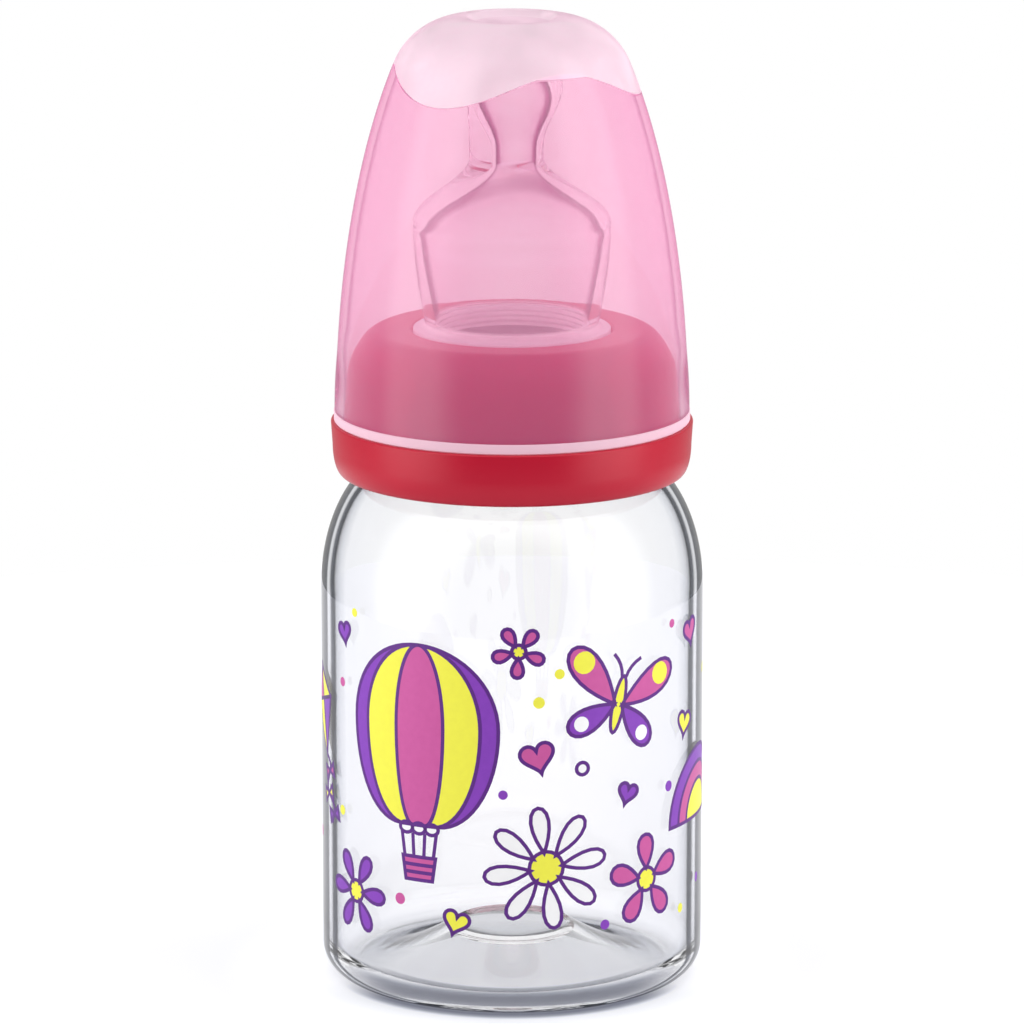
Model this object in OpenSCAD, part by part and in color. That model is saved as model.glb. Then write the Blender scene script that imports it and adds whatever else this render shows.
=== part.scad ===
// Small feeding bottle: blow-moulded bottle, silicone teat, screw ring and travel cap.
// Millimetres. The origin is on the axis at table level and +Z points up.
// The teat's flange is clamped between the bottle's rim and the ring's shelf,
// and the cap stands on the ring's ledge.

/* [Body] */
// Outer radius of the straight wall
body_r = 26; // [24:0.5:32]
// Height at which the straight wall ends
body_h = 54; // [44:1:90]
// Thickness of the side wall and of the shoulder
wall = 1.4; // [1:0.1:2]
// Thickness of the base
base_t = 1.6; // [1.2:0.1:2.4]
// Outer radius of the heel, between the wall and the base
heel_r = 4; // [2:0.1:4.8]
// Inner radius of the heel
heel_in_r = 4; // [2.5:0.1:5]
// Inner radius of the flat ring that the bottle stands on
stand_r = 19.5; // [16:0.5:21]
// Height of the push-up under the base
push_h = 5; // [3:0.25:8]
// Radius of the push-up's crest
crest_r = 8; // [5:0.5:11]
// Depth of the dimple inside the crest
dimple_h = 1.2; // [0.4:0.1:2.5]
// How flat the dimple's middle is, where 2 is a plain bowl
dimple_flat = 3; // [2:0.1:5]
// How the push-up's cone flares from the crest to the foot, where 1 is straight
cone_flare = 1.5; // [1:0.1:2.5]

/* [Shoulder and neck] */
// Height of the shoulder's ellipse, from the straight wall up
shoulder_h = 18; // [12:0.5:24]
// How far the shoulder's ellipse reaches in from the straight wall
shoulder_w = 11; // [10:0.25:14]
// Outer radius of the neck, at the root of its thread
neck_r = 17.2; // [16.5:0.1:18.5]
// Thickness of the neck
neck_wall = 1.6; // [1.2:0.1:2.2]
// Height of the neck above the shoulder
neck_h = 13.8; // [12:0.1:16]
// Rounding of the rim's two edges
rim_round = 0.4; // [0.2:0.05:0.6]

/* [Screw ring] */
// Radial space for the thread between the neck and the ring's sleeve
thread_space = 1.5; // [1.2:0.1:2]
// Thickness of the threaded sleeve
sleeve_wall = 1.5; // [1.2:0.1:2]
// Height of the sleeve's lower edge above the foot of the neck
sleeve_lift = 0.3; // [0.2:0.1:2]
// Radial gap between the sleeve and the outer skin
skin_gap = 0.9; // [0.6:0.1:1.6]
// Thickness of the outer skin
skin = 1.6; // [1.2:0.1:2]
// Height of the whole ring
ring_h = 19.7; // [18.5:0.1:21]
// Height of the lower flange, up to the ledge for the cap
flange_h = 7.2; // [5:0.1:8]
// Width of the ledge that the cap stands on
ledge_w = 1.8; // [1.5:0.1:2.5]
// How far the flange draws in from its top to its lower edge
flange_draft = 0.2; // [0:0.05:0.5]
// Width of the rounding at the flange's lower edge
flange_round_w = 1.2; // [0.6:0.1:1.4]
// Height of the rounding at the flange's lower edge
flange_round_h = 4; // [1:0.1:4.5]
// Straight stretch of the dome above the ledge
dome_flat_h = 3; // [2:0.1:4]
// Width of the dome's rounded corner
dome_round_w = 5; // [3.5:0.1:6]
// Thickness of the ring's top, over the teat's flange
top_t = 2.1; // [1.6:0.1:2.6]
// Radius of the hole that the teat comes up through
hole_r = 13.5; // [12:0.1:14]
// Rounding of the hole's upper edge
hole_round = 0.5; // [0.2:0.1:0.8]
// Number of ribs between the sleeve and the skin
rib_count = 12; // [6:1:24]
// Thickness of a rib
rib_t = 0.9; // [0.6:0.1:1.4]
// Height of the ribs' lower edges above the sleeve's
rib_lift = 1.5; // [0.5:0.1:4]

/* [Teat base] */
// Thickness of the flange that the ring clamps
teat_flange_t = 2; // [1.6:0.1:2.6]
// Radial gap between the teat's flange and the ring's sleeve
teat_flange_gap = 1.7; // [1.2:0.1:2.2]
// Radial gap between the teat's plug and the ring's hole
plug_gap = 0.15; // [0.1:0.05:0.3]
// How far the plug stands above the ring's top
plug_lift = 0.2; // [0.1:0.05:0.6]
// Width of the step from the plug in to the bell
plug_step = 1.55; // [1:0.05:2]
// Rounding where the bell rises from the plug
bell_fillet = 0.8; // [0.4:0.1:1]
// Thickness of the bell
teat_wall = 1.4; // [1:0.1:1.8]
// Radius of the recess under the flange
recess_r = 13.6; // [12.6:0.1:14.2]
// Depth of the recess under the flange
recess_h = 1.6; // [1:0.1:2.4]

/* [Nipple] */
// Largest radius of the bell
bell_r = 13.35; // [12.6:0.05:14.5]
// Height from the plug's top to the bell's largest radius
bell_h = 14.3; // [12:0.1:17]
// Height of the outer shoulder, from the bell up to the nipple's waist
slope_h = 8.8; // [7:0.1:11]
// Height of the waist's straight stretch
waist_h = 1.5; // [0.5:0.1:3]
// Radius of the waist
waist_r = 5; // [4.5:0.05:6]
// Sideways shift of the waist
waist_shift = -0.75; // [-1:0.05:0]
// Height from the waist up to the bulb's widest place
bulb_h = 8.1; // [6:0.1:10]
// Half the bulb's width
bulb_r = 6.45; // [6:0.05:7.5]
// Sideways shift of the bulb
bulb_shift = 0.37; // [0:0.01:0.6]
// Height of the rounded tip above the bulb's widest place
tip_h = 4.6; // [3.5:0.1:6]
// Depth of the bulb as a share of its width
bulb_flat = 0.88; // [0.75:0.01:1]
// Radius of the channel through the waist
channel_r = 2.75; // [2:0.05:3]
// Sideways shift of the channel
channel_shift = 0.33; // [0:0.01:0.5]
// Thickness of the shoulder, measured upwards
slope_wall = 1.3; // [1:0.1:1.6]
// Thickness of the bulb's side
bulb_wall = 1.45; // [1:0.05:1.8]
// Thickness of the tip
tip_wall = 1.5; // [1:0.1:2]

/* [Cap] */
// Radial gap between the ring's dome and the cap's skirt
cap_gap = 0.2; // [0.1:0.05:0.3]
// Thickness of the cap's skirt
cap_skirt_wall = 1.2; // [1:0.05:1.3]
// Height of the skirt
cap_skirt_h = 4.5; // [3:0.1:6]
// How far the foot bead stands out from the skirt
cap_bead_w = 0.1; // [0.05:0.05:0.2]
// Height of the foot bead
cap_bead_h = 1.3; // [0.8:0.1:2]
// How far the skirt stands out from the shell above it
cap_step = 0.15; // [0.1:0.05:0.25]
// Thickness of the shell
cap_wall = 1; // [0.8:0.05:1.1]
// Height of the whole cap
cap_h = 54.8; // [54:0.1:60]
// Height at which the shell's curve would close
cap_reach = 65; // [63:0.5:75]
// Radius of the rounded corner round the top
cap_corner = 10; // [6:0.5:12]
// Depth of the dish in the top
dish_h = 0.8; // [0.4:0.1:1.2]
// Radius of the dish's floor
dish_r = 5; // [3:0.1:5.4]

/* [Hidden] */

$fn = 96;
arc_steps = 12;          // points along a quarter arc
loft_sides = 40;         // sides of the nipple's rings
loft_steps = 9;          // rings along each stretch of the nipple
seam_h = 0.6;            // height over which the nipple and the turned bell overlap
seam_in = 0.06;          // depth of the nipple's skins inside the bell's wall there
rib_bite = 0.3;          // how deep a rib's ends run into the walls that it joins
foot_land = 1;           // least width of the flat ring that the bottle stands on

// Bottle
bore_r = body_r - wall;
foot_r = min(stand_r, body_r - heel_r - foot_land, bore_r - heel_in_r);
neck_in_r = neck_r - neck_wall;
shoulder_r = body_r - shoulder_w;
neck_z = body_h + shoulder_h*sqrt(1 - pow((neck_r - shoulder_r)/shoulder_w, 2));
neck_in_z = body_h + (shoulder_h - wall)*sqrt(1 - pow((neck_in_r - shoulder_r)/(shoulder_w - wall), 2));
rim_z = neck_z + neck_h;

// Screw ring
shelf_z = rim_z + teat_flange_t;
ring_top_z = shelf_z + top_t;
ring_z = ring_top_z - ring_h;
ledge_z = ring_z + flange_h;
sleeve_z = neck_z + sleeve_lift;
sleeve_in_r = neck_r + thread_space;
sleeve_r = sleeve_in_r + sleeve_wall;
dome_r = sleeve_r + skin_gap + skin;
flange_r = dome_r + ledge_w;
dome_z = ledge_z + dome_flat_h;
dome_top_r = dome_r - dome_round_w;
dome_round_h = ring_top_z - dome_z;
gap_w = dome_round_w - skin;
gap_h = dome_round_h - skin;
gap_top_z = dome_z + gap_h*sqrt(1 - pow((sleeve_r - dome_top_r)/gap_w, 2));

// Teat
teat_flange_r = sleeve_in_r - teat_flange_gap;
plug_r = hole_r - plug_gap;
plug_z = ring_top_z + plug_lift;
bell_foot_r = plug_r - plug_step;
bell_foot_z = plug_z + bell_fillet;
bell_z = plug_z + bell_h;
waist_z = bell_z + slope_h;
bulb_z = waist_z + waist_h + bulb_h;
tip_z = bulb_z + tip_h;
seam_z = bell_z - slope_wall;

// Cap
cap_skirt_in_r = dome_r + cap_gap;
cap_skirt_r = cap_skirt_in_r + cap_skirt_wall - cap_bead_w;
cap_shell_r = cap_skirt_r - cap_step;
cap_top_z = ledge_z + cap_h;
cap_corner_z = cap_top_z - cap_corner;

// An arc of an ellipse about [x, y], from angle a to angle b
function arc(x, y, w, h, a, b) =
    [for (i = [0:arc_steps]) let (t = a + (b - a)*i/arc_steps) [x + w*cos(t), y + h*sin(t)]];

// 0 to 1 as t goes from 0 to 1, level at both ends
function ease(t) = (1 - cos(180*min(1, max(0, t))))/2;
function blend(a, b, t) = a + (b - a)*ease(t);

// ---- Bottle ----

// Height of the base's underside at radius r
function push_z(r) = r < crest_r
    ? push_h - dimple_h*(1 - pow(r/crest_r, dimple_flat))
    : push_h*pow(1 - (r - crest_r)/(foot_r - crest_r), cone_flare);

function base_line(lift) = concat(
    [for (i = [0:arc_steps]) let (r = crest_r*i/arc_steps) [r, push_z(r) + lift]],
    [for (i = [1:arc_steps]) let (r = crest_r + (foot_r - crest_r)*i/arc_steps) [r, push_z(r) + lift]]);

module bottle_outside() {
    polygon(concat(
        base_line(0),
        arc(body_r - heel_r, heel_r, heel_r, heel_r, -90, 0),
        arc(shoulder_r, body_h, shoulder_w, shoulder_h, 0, acos((neck_r - shoulder_r)/shoulder_w)),
        arc(neck_r - rim_round, rim_z - rim_round, rim_round, rim_round, 0, 90),
        [[0, rim_z]]));
}

module bottle_inside() {
    inner_w = shoulder_w - wall;
    polygon(concat(
        base_line(base_t),
        arc(bore_r - heel_in_r, base_t + heel_in_r, heel_in_r, heel_in_r, -90, 0),
        arc(shoulder_r, body_h, inner_w, shoulder_h - wall, 0, acos((neck_in_r - shoulder_r)/inner_w)),
        [[neck_in_r, rim_z - rim_round]],
        [[neck_in_r + rim_round, rim_z]],
        [[neck_in_r + rim_round, rim_z + 1], [0, rim_z + 1]]));
}

module bottle() {
    color([0.86, 0.9, 0.94, 0.4])
    rotate_extrude()
    difference() {
        bottle_outside();
        bottle_inside();
    }
}

// ---- Screw ring ----

module ring_section() {
    low_r = flange_r - flange_draft;
    polygon(concat(
        arc(low_r - flange_round_w, ring_z + flange_round_h, flange_round_w, flange_round_h, -90, 0),
        [[flange_r, ledge_z], [dome_r, ledge_z]],
        arc(dome_top_r, dome_z, dome_round_w, dome_round_h, 0, 90),
        arc(hole_r + hole_round, ring_top_z - hole_round, hole_round, hole_round, 90, 180),
        [[hole_r, shelf_z], [sleeve_in_r, shelf_z], [sleeve_in_r, sleeve_z], [sleeve_r, sleeve_z]],
        [[sleeve_r, ring_z]]));
}

// The gap between the sleeve and the outer skin, open below
module gap_section(grow) {
    polygon(concat(
        [[sleeve_r - grow, ring_z - 2], [sleeve_r - grow, gap_top_z + grow]],
        arc(dome_top_r, dome_z, gap_w + grow, gap_h + grow, acos((sleeve_r - dome_top_r)/gap_w), 0),
        [[dome_r - skin + grow, ledge_z - skin + grow], [flange_r - skin + grow, ledge_z - skin + grow]],
        [[flange_r - skin + grow, ring_z - 2]]));
}

module ring_ribs() {
    rib_z = sleeve_z + rib_lift;
    intersection() {
        rotate_extrude() gap_section(rib_bite);
        for (i = [0:rib_count - 1])
            rotate(360*i/rib_count)
            translate([sleeve_r - rib_bite, -rib_t/2, rib_z])
            cube([skin_gap + skin + ledge_w, rib_t, ring_top_z - rib_z]);
    }
}

module screw_ring() {
    color([0.78, 0.1, 0.22]) {
        rotate_extrude()
        difference() {
            ring_section();
            gap_section(0);
        }
        ring_ribs();
    }
}

// ---- Teat ----

// Outer radius of the bell at height z
function bell_at(z) = bell_foot_r
    + (bell_r - bell_foot_r)*sin(90*min(1, max(0, (z - bell_foot_z)/(bell_z - bell_foot_z))));

module teat_base() {
    steps = [for (i = [0:arc_steps]) bell_foot_z + (seam_z - bell_foot_z)*i/arc_steps];
    rotate_extrude()
    polygon(concat(
        [[recess_r, rim_z], [teat_flange_r, rim_z], [teat_flange_r, shelf_z], [plug_r, shelf_z]],
        [[plug_r, plug_z - plug_lift], [plug_r - plug_lift, plug_z]],
        arc(bell_foot_r + bell_fillet, bell_foot_z, bell_fillet, bell_fillet, -90, -180),
        [for (z = steps) [bell_at(z), z]],
        [for (i = [arc_steps:-1:0]) [bell_at(steps[i]) - teat_wall, steps[i]]],
        [[bell_foot_r - teat_wall, rim_z + recess_h + (recess_r - bell_foot_r + teat_wall)/4]],
        [[recess_r, rim_z + recess_h]]));
}

// One skin of the nipple is given by its heights and radii:
// [top of the bell, foot of the waist, top of the waist, bulb, tip],
// [bell's radius, waist's radius, bulb's radius], [waist's shift, bulb's shift]
outer_skin = [
    [bell_z, waist_z, waist_z + waist_h, bulb_z, tip_z],
    [bell_r - seam_in, waist_r, bulb_r],
    [waist_shift, bulb_shift]];
inner_skin = [
    [seam_z, waist_z - slope_wall, waist_z + waist_h - slope_wall/2, bulb_z - slope_wall, tip_z - tip_wall],
    [bell_at(seam_z) - teat_wall + seam_in, channel_r, bulb_r - bulb_wall],
    [channel_shift, channel_shift]];

// Heights of the rings: closer together where the tip rounds over
function ring_heights(s) = let (h = s[0]) concat(
    [seam_z - seam_h],
    [for (i = [0:loft_steps]) h[0] + (h[1] - h[0])*i/loft_steps],
    [for (i = [0:loft_steps]) h[2] + (h[3] - h[2])*i/loft_steps],
    [for (i = [1:loft_steps - 1]) h[3] + (h[4] - h[3])*sin(90*i/loft_steps)]);

function skin_r(s, z) = let (h = s[0], r = s[1])
    z < h[1] ? blend(r[0], r[1], (z - h[0])/(h[1] - h[0]))
    : z < h[3] ? blend(r[1], r[2], (z - h[2])/(h[3] - h[2]))
    : r[2]*sqrt(1 - pow((z - h[3])/(h[4] - h[3]), 2));

function skin_shift(s, z) = let (h = s[0], c = s[2])
    z < h[2] ? blend(0, c[0], (z - h[0])/(h[1] - h[0]))
    : blend(c[0], c[1], (z - h[2])/(h[3] - h[2]));

function skin_depth(s, z) = let (h = s[0])
    blend(1, bulb_flat, (z - h[0])/(h[3] - h[0]));

function skin_ring(s, z) = let (r = skin_r(s, z), x = skin_shift(s, z), d = skin_depth(s, z))
    [for (k = [0:loft_sides - 1]) [x + r*cos(360*k/loft_sides), r*d*sin(360*k/loft_sides), z]];

function skin_points(s) = concat(
    [for (z = ring_heights(s)) each skin_ring(s, z)],
    [[s[2][1], 0, s[0][4]]]);

// Triangles between the rings that start at points p and q, and from a ring to a tip
function band(p, q) = [for (k = [0:loft_sides - 1]) let (m = (k + 1) % loft_sides)
    each [[p + k, p + m, q + k], [p + m, q + m, q + k]]];
function fan(p, tip) = [for (k = [0:loft_sides - 1]) [p + k, p + (k + 1) % loft_sides, tip]];
function turned(faces) = [for (f = faces) [f[2], f[1], f[0]]];
function skin_faces(first, rings) = concat(
    [for (i = [0:rings - 2]) each band(first + i*loft_sides, first + (i + 1)*loft_sides)],
    fan(first + (rings - 1)*loft_sides, first + rings*loft_sides));

module nipple() {
    rings = len(ring_heights(outer_skin));
    inner_first = rings*loft_sides + 1;
    polyhedron(
        points = concat(skin_points(outer_skin), skin_points(inner_skin)),
        faces = concat(
            turned(skin_faces(0, rings)),
            skin_faces(inner_first, rings),
            band(0, inner_first)));
}

module teat() {
    color([0.96, 0.82, 0.87, 0.6]) {
        teat_base();
        nipple();
    }
}

// ---- Cap ----

// Radius of a shell of base radius r and reach h, at height z, and the lean of its wall there
function shell_at(r, h, z) = r*sqrt(1 - pow((z - ledge_z)/h, 2));
function shell_lean(r, h, z) = let (u = (z - ledge_z)/h) atan(r/h*u/sqrt(1 - u*u));

// Angle at which the corner's arc meets the shell with no crease
function corner_angle(r, h, radius, a = 20, tries = 12) = tries == 0 ? a
    : corner_angle(r, h, radius, shell_lean(r, h, cap_corner_z + radius*sin(a)), tries - 1);

// The curve of a shell from height z up to the corner and over it to the top
function shell_line(r, h, radius, z) = let (
        a = corner_angle(r, h, radius),
        end_z = cap_corner_z + radius*sin(a),
        x = shell_at(r, h, end_z) - radius*cos(a))
    concat(
        [for (i = [0:2*arc_steps - 1]) let (t = z + (end_z - z)*i/(2*arc_steps)) [shell_at(r, h, t), t]],
        arc(x, cap_corner_z, radius, radius, a, 90));

module cap() {
    skirt_z = ledge_z + cap_skirt_h;
    dish_z = cap_top_z - dish_h;
    outside = shell_line(cap_shell_r, cap_reach, cap_corner, skirt_z + cap_step);
    inside = shell_line(cap_shell_r - cap_wall, cap_reach - cap_wall, cap_corner - cap_wall, skirt_z);
    color([0.98, 0.72, 0.84, 0.5])
    rotate_extrude()
    difference() {
        polygon(concat(
            [[0, ledge_z], [cap_skirt_r + cap_bead_w, ledge_z], [cap_skirt_r + cap_bead_w, ledge_z + cap_bead_h]],
            [[cap_skirt_r, ledge_z + cap_bead_h + cap_bead_w], [cap_skirt_r, skirt_z]],
            outside,
            [[dish_r, dish_z], [0, dish_z]]));
        polygon(concat(
            [[0, ledge_z - 1], [cap_skirt_in_r, ledge_z - 1], [cap_skirt_in_r, skirt_z - cap_step]],
            inside,
            [[dish_r, dish_z - cap_wall], [0, dish_z - cap_wall]]));
    }
}

bottle();
teat();
screw_ring();
cap();
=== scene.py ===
import bmesh
import bpy
import math
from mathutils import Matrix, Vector


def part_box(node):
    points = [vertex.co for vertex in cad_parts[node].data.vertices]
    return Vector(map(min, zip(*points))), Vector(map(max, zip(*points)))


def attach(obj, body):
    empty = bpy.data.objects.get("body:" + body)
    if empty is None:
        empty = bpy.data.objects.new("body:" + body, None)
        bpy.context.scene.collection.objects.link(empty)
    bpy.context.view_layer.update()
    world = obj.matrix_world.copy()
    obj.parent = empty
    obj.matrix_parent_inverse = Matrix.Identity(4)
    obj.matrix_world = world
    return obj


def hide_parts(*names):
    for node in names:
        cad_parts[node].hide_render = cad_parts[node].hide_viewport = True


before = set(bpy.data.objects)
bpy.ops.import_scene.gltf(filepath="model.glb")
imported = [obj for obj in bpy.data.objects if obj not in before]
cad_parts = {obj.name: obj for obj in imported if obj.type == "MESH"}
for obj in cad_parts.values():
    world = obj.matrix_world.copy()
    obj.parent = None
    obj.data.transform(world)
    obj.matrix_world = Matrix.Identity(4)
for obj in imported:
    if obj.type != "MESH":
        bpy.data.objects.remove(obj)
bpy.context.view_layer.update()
scene = bpy.context.scene
scene.view_settings.view_transform = "Standard"
mm = 0.001

# A ray crosses up to eight clear walls, one behind the other
scene.cycles.max_bounces = 32
scene.cycles.glossy_bounces = 24
scene.cycles.transmission_bounces = 28
scene.cycles.transparent_max_bounces = 24
print("frame loaded:", ", ".join(sorted(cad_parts)))


# Colours, curves and meshes

def linear(hexColour):  # sRGB hex to the linear values that Blender works in
    values = [int(hexColour[i:i + 2], 16)/255 for i in (1, 3, 5)]
    return [v/12.92 if v <= 0.04045 else ((v + 0.055)/1.055)**2.4 for v in values] + [1]


def boxMm(node):
    low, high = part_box(node)
    return low/mm, high/mm


def ease(t):  # 0 to 1, level at both ends
    return (1 - math.cos(math.pi*min(1, max(0, t))))/2


def blend(a, b, t):
    return a + (b - a)*ease(t)


def arc(x, z, w, h, start, end, steps=16):  # part of an ellipse, angles in degrees
    angles = [math.radians(start + (end - start)*i/steps) for i in range(steps + 1)]
    return [(x + w*math.cos(a), z + h*math.sin(a)) for a in angles]


def line(a, b, steps):  # points from a towards b, without b
    return [(a[0] + (b[0] - a[0])*i/steps, a[1] + (b[1] - a[1])*i/steps) for i in range(steps)]


def spun(points, angle):  # a section stood up at that angle round the axis
    return [(r*math.cos(angle), r*math.sin(angle), z) for r, z in points]


def finishMesh(name, bm, materials, sharpAngle=38):
    bmesh.ops.remove_doubles(bm, verts=bm.verts, dist=1e-7)
    bmesh.ops.recalc_face_normals(bm, faces=bm.faces)
    mesh = bpy.data.meshes.new(name)
    bm.to_mesh(mesh)
    bm.free()
    mesh.shade_smooth()
    mesh.set_sharp_from_angle(angle=math.radians(sharpAngle))
    for material in materials:
        mesh.materials.append(material)
    piece = bpy.data.objects.new(name, mesh)
    scene.collection.objects.link(piece)
    return piece


# Carries a section round the axis. Its faces from insideFrom on are the inner wall.
def lathe(name, sectionAt, materials, insideFrom=None, slotAt=None, turns=192):
    bm = bmesh.new()
    inside = bm.faces.layers.float.new("inside")
    columns = [[bm.verts.new(Vector(p)*mm) for p in sectionAt(2*math.pi*i/turns)] for i in range(turns)]
    count = len(columns[0])
    for i, column in enumerate(columns):
        nextColumn = columns[(i + 1) % turns]
        for j in range(count):
            k = (j + 1) % count
            face = bm.faces.new((column[j], nextColumn[j], nextColumn[k], column[k]))
            face.material_index = slotAt(j) if slotAt else 0
            face[inside] = 1 if insideFrom is not None and j >= insideFrom else 0
    return finishMesh(name, bm, materials)


def place(piece, body, slot, *nodes):  # hands a finished piece over to the frame
    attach(piece, body)
    if nodes:
        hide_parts(*nodes)


# Materials

def newMaterial(name):
    material = bpy.data.materials.new(name)
    material.use_nodes = True
    material.node_tree.nodes.clear()
    return material, material.node_tree


def addNode(tree, kind, inputs, **settings):  # inputs: socket name to a value or to another node's output
    node = tree.nodes.new(kind)
    for name, value in settings.items():
        setattr(node, name, value)
    for name, value in inputs.items():
        if isinstance(value, bpy.types.NodeSocket):
            tree.links.new(value, node.inputs[name])
        else:
            node.inputs[name].default_value = value
    return node


def mathOf(tree, operation, a, b):
    return addNode(tree, "ShaderNodeMath", {0: a, 1: b}, operation=operation).outputs[0]


def rangeOf(tree, value, source, target, easing="LINEAR"):  # source and target are (low, high)
    node = addNode(tree, "ShaderNodeMapRange", {
        "Value": value, "From Min": source[0], "From Max": source[1],
        "To Min": target[0], "To Max": target[1]}, interpolation_type=easing)
    return node.outputs["Result"]


def mixOf(tree, factor, a, b):
    return addNode(tree, "ShaderNodeMix", {"Factor": factor, "A": a, "B": b}, data_type="RGBA").outputs[2]


def noiseOf(tree, coords, featureMm, detail):  # object coordinates are in metres
    node = addNode(tree, "ShaderNodeTexNoise", {
        "Vector": coords, "Scale": 1/(featureMm*mm), "Detail": detail})
    return node.outputs["Fac"]


def bumpOf(tree, height, depthMm):
    node = addNode(tree, "ShaderNodeBump", {
        "Height": height, "Distance": depthMm*mm, "Strength": 1.0})
    return node.outputs["Normal"]


def objectCoords(tree):
    return addNode(tree, "ShaderNodeTexCoord", {}).outputs["Object"]


def rampOf(tree, factor, stops):
    ramp = addNode(tree, "ShaderNodeValToRGB", {"Fac": factor})
    elements = ramp.color_ramp.elements
    while len(elements) < len(stops):
        elements.new(1.0)
    for element, (position, colour) in zip(elements, stops):
        element.position = position
        element.color = linear(colour)
    return ramp.outputs["Color"]


# Milkiness: light that the plastic scatters in its own colour, counted on the outer wall
def hazed(tree, look, surface, coords, inner):
    colour = linear(look["hazeColour"])
    front = addNode(tree, "ShaderNodeBsdfDiffuse", {"Color": colour})
    through = addNode(tree, "ShaderNodeBsdfTranslucent", {"Color": colour})
    milk = addNode(tree, "ShaderNodeMixShader", {
        0: look["hazeThrough"], 1: front.outputs[0], 2: through.outputs[0]})
    amount = rangeOf(tree, inner, (0.0, 1.0), (look["haze"], 0.0))
    if "cloud" in look:
        cloud = noiseOf(tree, coords, look["cloudMm"], 5.0)
        uneven = rangeOf(tree, cloud, (0.3, 0.7), (1 - look["cloud"], 1 + look["cloud"]))
        amount = mathOf(tree, "MULTIPLY", amount, uneven)
    if "thickHaze" in look:
        height = addNode(tree, "ShaderNodeSeparateXYZ", {"Vector": coords}).outputs["Z"]
        step = (look["thickBelow"]*mm, look["thinAbove"]*mm)
        amount = rangeOf(tree, height, step, (look["thickHaze"], amount))
    return addNode(tree, "ShaderNodeMixShader", {0: amount, 1: surface.outputs[0], 2: milk.outputs[0]})


# A clear wall's colour follows its slant to the eye: its own colour face on, and painted shade near its
# edges for what they would gather from beside the object
def clearMoulding(name, look):
    material, tree = newMaterial(name)
    coords = objectCoords(tree)
    skin = noiseOf(tree, coords, look["skinMm"], 2.0)
    slant = addNode(tree, "ShaderNodeLayerWeight", {"Blend": 0.5}).outputs["Facing"]
    inner = addNode(tree, "ShaderNodeAttribute", {}, attribute_name="inside").outputs["Fac"]
    # Painted shade: the ramps darken the colour where the wall slants away from the eye
    tintAndEdgeShade = mixOf(tree, inner, rampOf(tree, slant, look["outerTintAndEdgeShade"]), rampOf(tree, slant, look["innerTintAndEdgeShade"]))
    surface = addNode(tree, "ShaderNodeBsdfPrincipled", {
        "Base Color": tintAndEdgeShade, "Roughness": look["roughness"], "IOR": look["ior"],
        "Transmission Weight": 1.0, "Normal": bumpOf(tree, skin, look["skinDepthMm"])})
    if "haze" in look:
        surface = hazed(tree, look, surface, coords, inner)
    rays = addNode(tree, "ShaderNodeLightPath", {})
    passed = addNode(tree, "ShaderNodeBsdfTransparent", {"Color": linear(look["lampTint"])})
    whole = addNode(tree, "ShaderNodeMixShader", {
        0: rays.outputs["Is Shadow Ray"], 1: surface.outputs[0], 2: passed.outputs[0]})
    addNode(tree, "ShaderNodeOutputMaterial", {"Surface": whole.outputs[0]})
    return material


bottleLook = {  # blow-moulded clear copolyester: hard, sharp reflections on a slightly wavy wall
    "ior": 1.52,
    "roughness": 0.0,
    "skinMm": 14,  # the slow swell that blowing leaves
    "skinDepthMm": 0.02,
    "lampTint": "#FCFDFD",
    # painted shade by slant: dark lines with a painted light band between them, near the wall's edges
    "outerTintAndEdgeShade": [
        (0.0, "#FFFFFF"), (0.62, "#F8F9FC"), (0.64, "#20232C"), (0.69, "#20232C"),
        (0.72, "#D4D7DF"), (0.74, "#D4D7DF"), (0.76, "#101218"), (1.0, "#080A0C")],
    "innerTintAndEdgeShade": [
        (0.0, "#FFFFFF"), (0.62, "#F6F7FA"), (0.73, "#B8BCC6"), (0.8, "#3A3E4A"), (0.88, "#08090C")],
}


teatLook = {  # moulded clear silicone: softer gloss, and it bends light less than hard plastic
    "ior": 1.24,
    "roughness": 0.03,
    "skinMm": 3,
    "skinDepthMm": 0.012,
    "lampTint": "#FFFEFE",
    "haze": 0.04,
    "hazeThrough": 0.1,
    "hazeColour": "#FFF2F7",
    "thickHaze": 0.8,  # the thick plug and flange look milky, the thin bell hardly
    "thickBelow": 90.2,  # heights in millimetres
    "thinAbove": 91.0,
    # painted shade by slant, near the teat's edges
    "outerTintAndEdgeShade": [(0.0, "#FFFEFE"), (0.7, "#F6EAF0"), (0.9, "#B894A6"), (1.0, "#8A6076")],
    "innerTintAndEdgeShade": [
        (0.0, "#FFFFFF"), (0.58, "#F4E4EC"), (0.7, "#6A3A52"), (0.8, "#100208"), (1.0, "#0A0206")],
}


channelLook = dict(teatLook, innerTintAndEdgeShade=[  # painted shade on the nipple's narrow channel covers more of its width
    (0.0, "#FFFFFF"), (0.28, "#F0E0E8"), (0.42, "#7A3A5A"), (0.6, "#14040C"), (1.0, "#0A0206")])


capLook = {  # translucent pink polypropylene: clear, with a milky bloom in its own colour
    "ior": 1.49,
    "roughness": 0.02,
    "skinMm": 8,
    "skinDepthMm": 0.008,
    "haze": 0.34,
    "hazeThrough": 0.25,
    "hazeColour": "#F285BE",
    "lampTint": "#FFFCFE",
    # painted shade by slant, near the cap's edges
    "outerTintAndEdgeShade": [(0.0, "#FFFBFD"), (0.75, "#FEF6FA"), (0.85, "#EFB8D6"), (1.0, "#C58AAA")],
    "innerTintAndEdgeShade": [
        (0.0, "#FFFBFD"), (0.76, "#FCEFF7"), (0.84, "#94507A"), (0.9, "#2A0A1E"), (1.0, "#18060F")],
}


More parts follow.
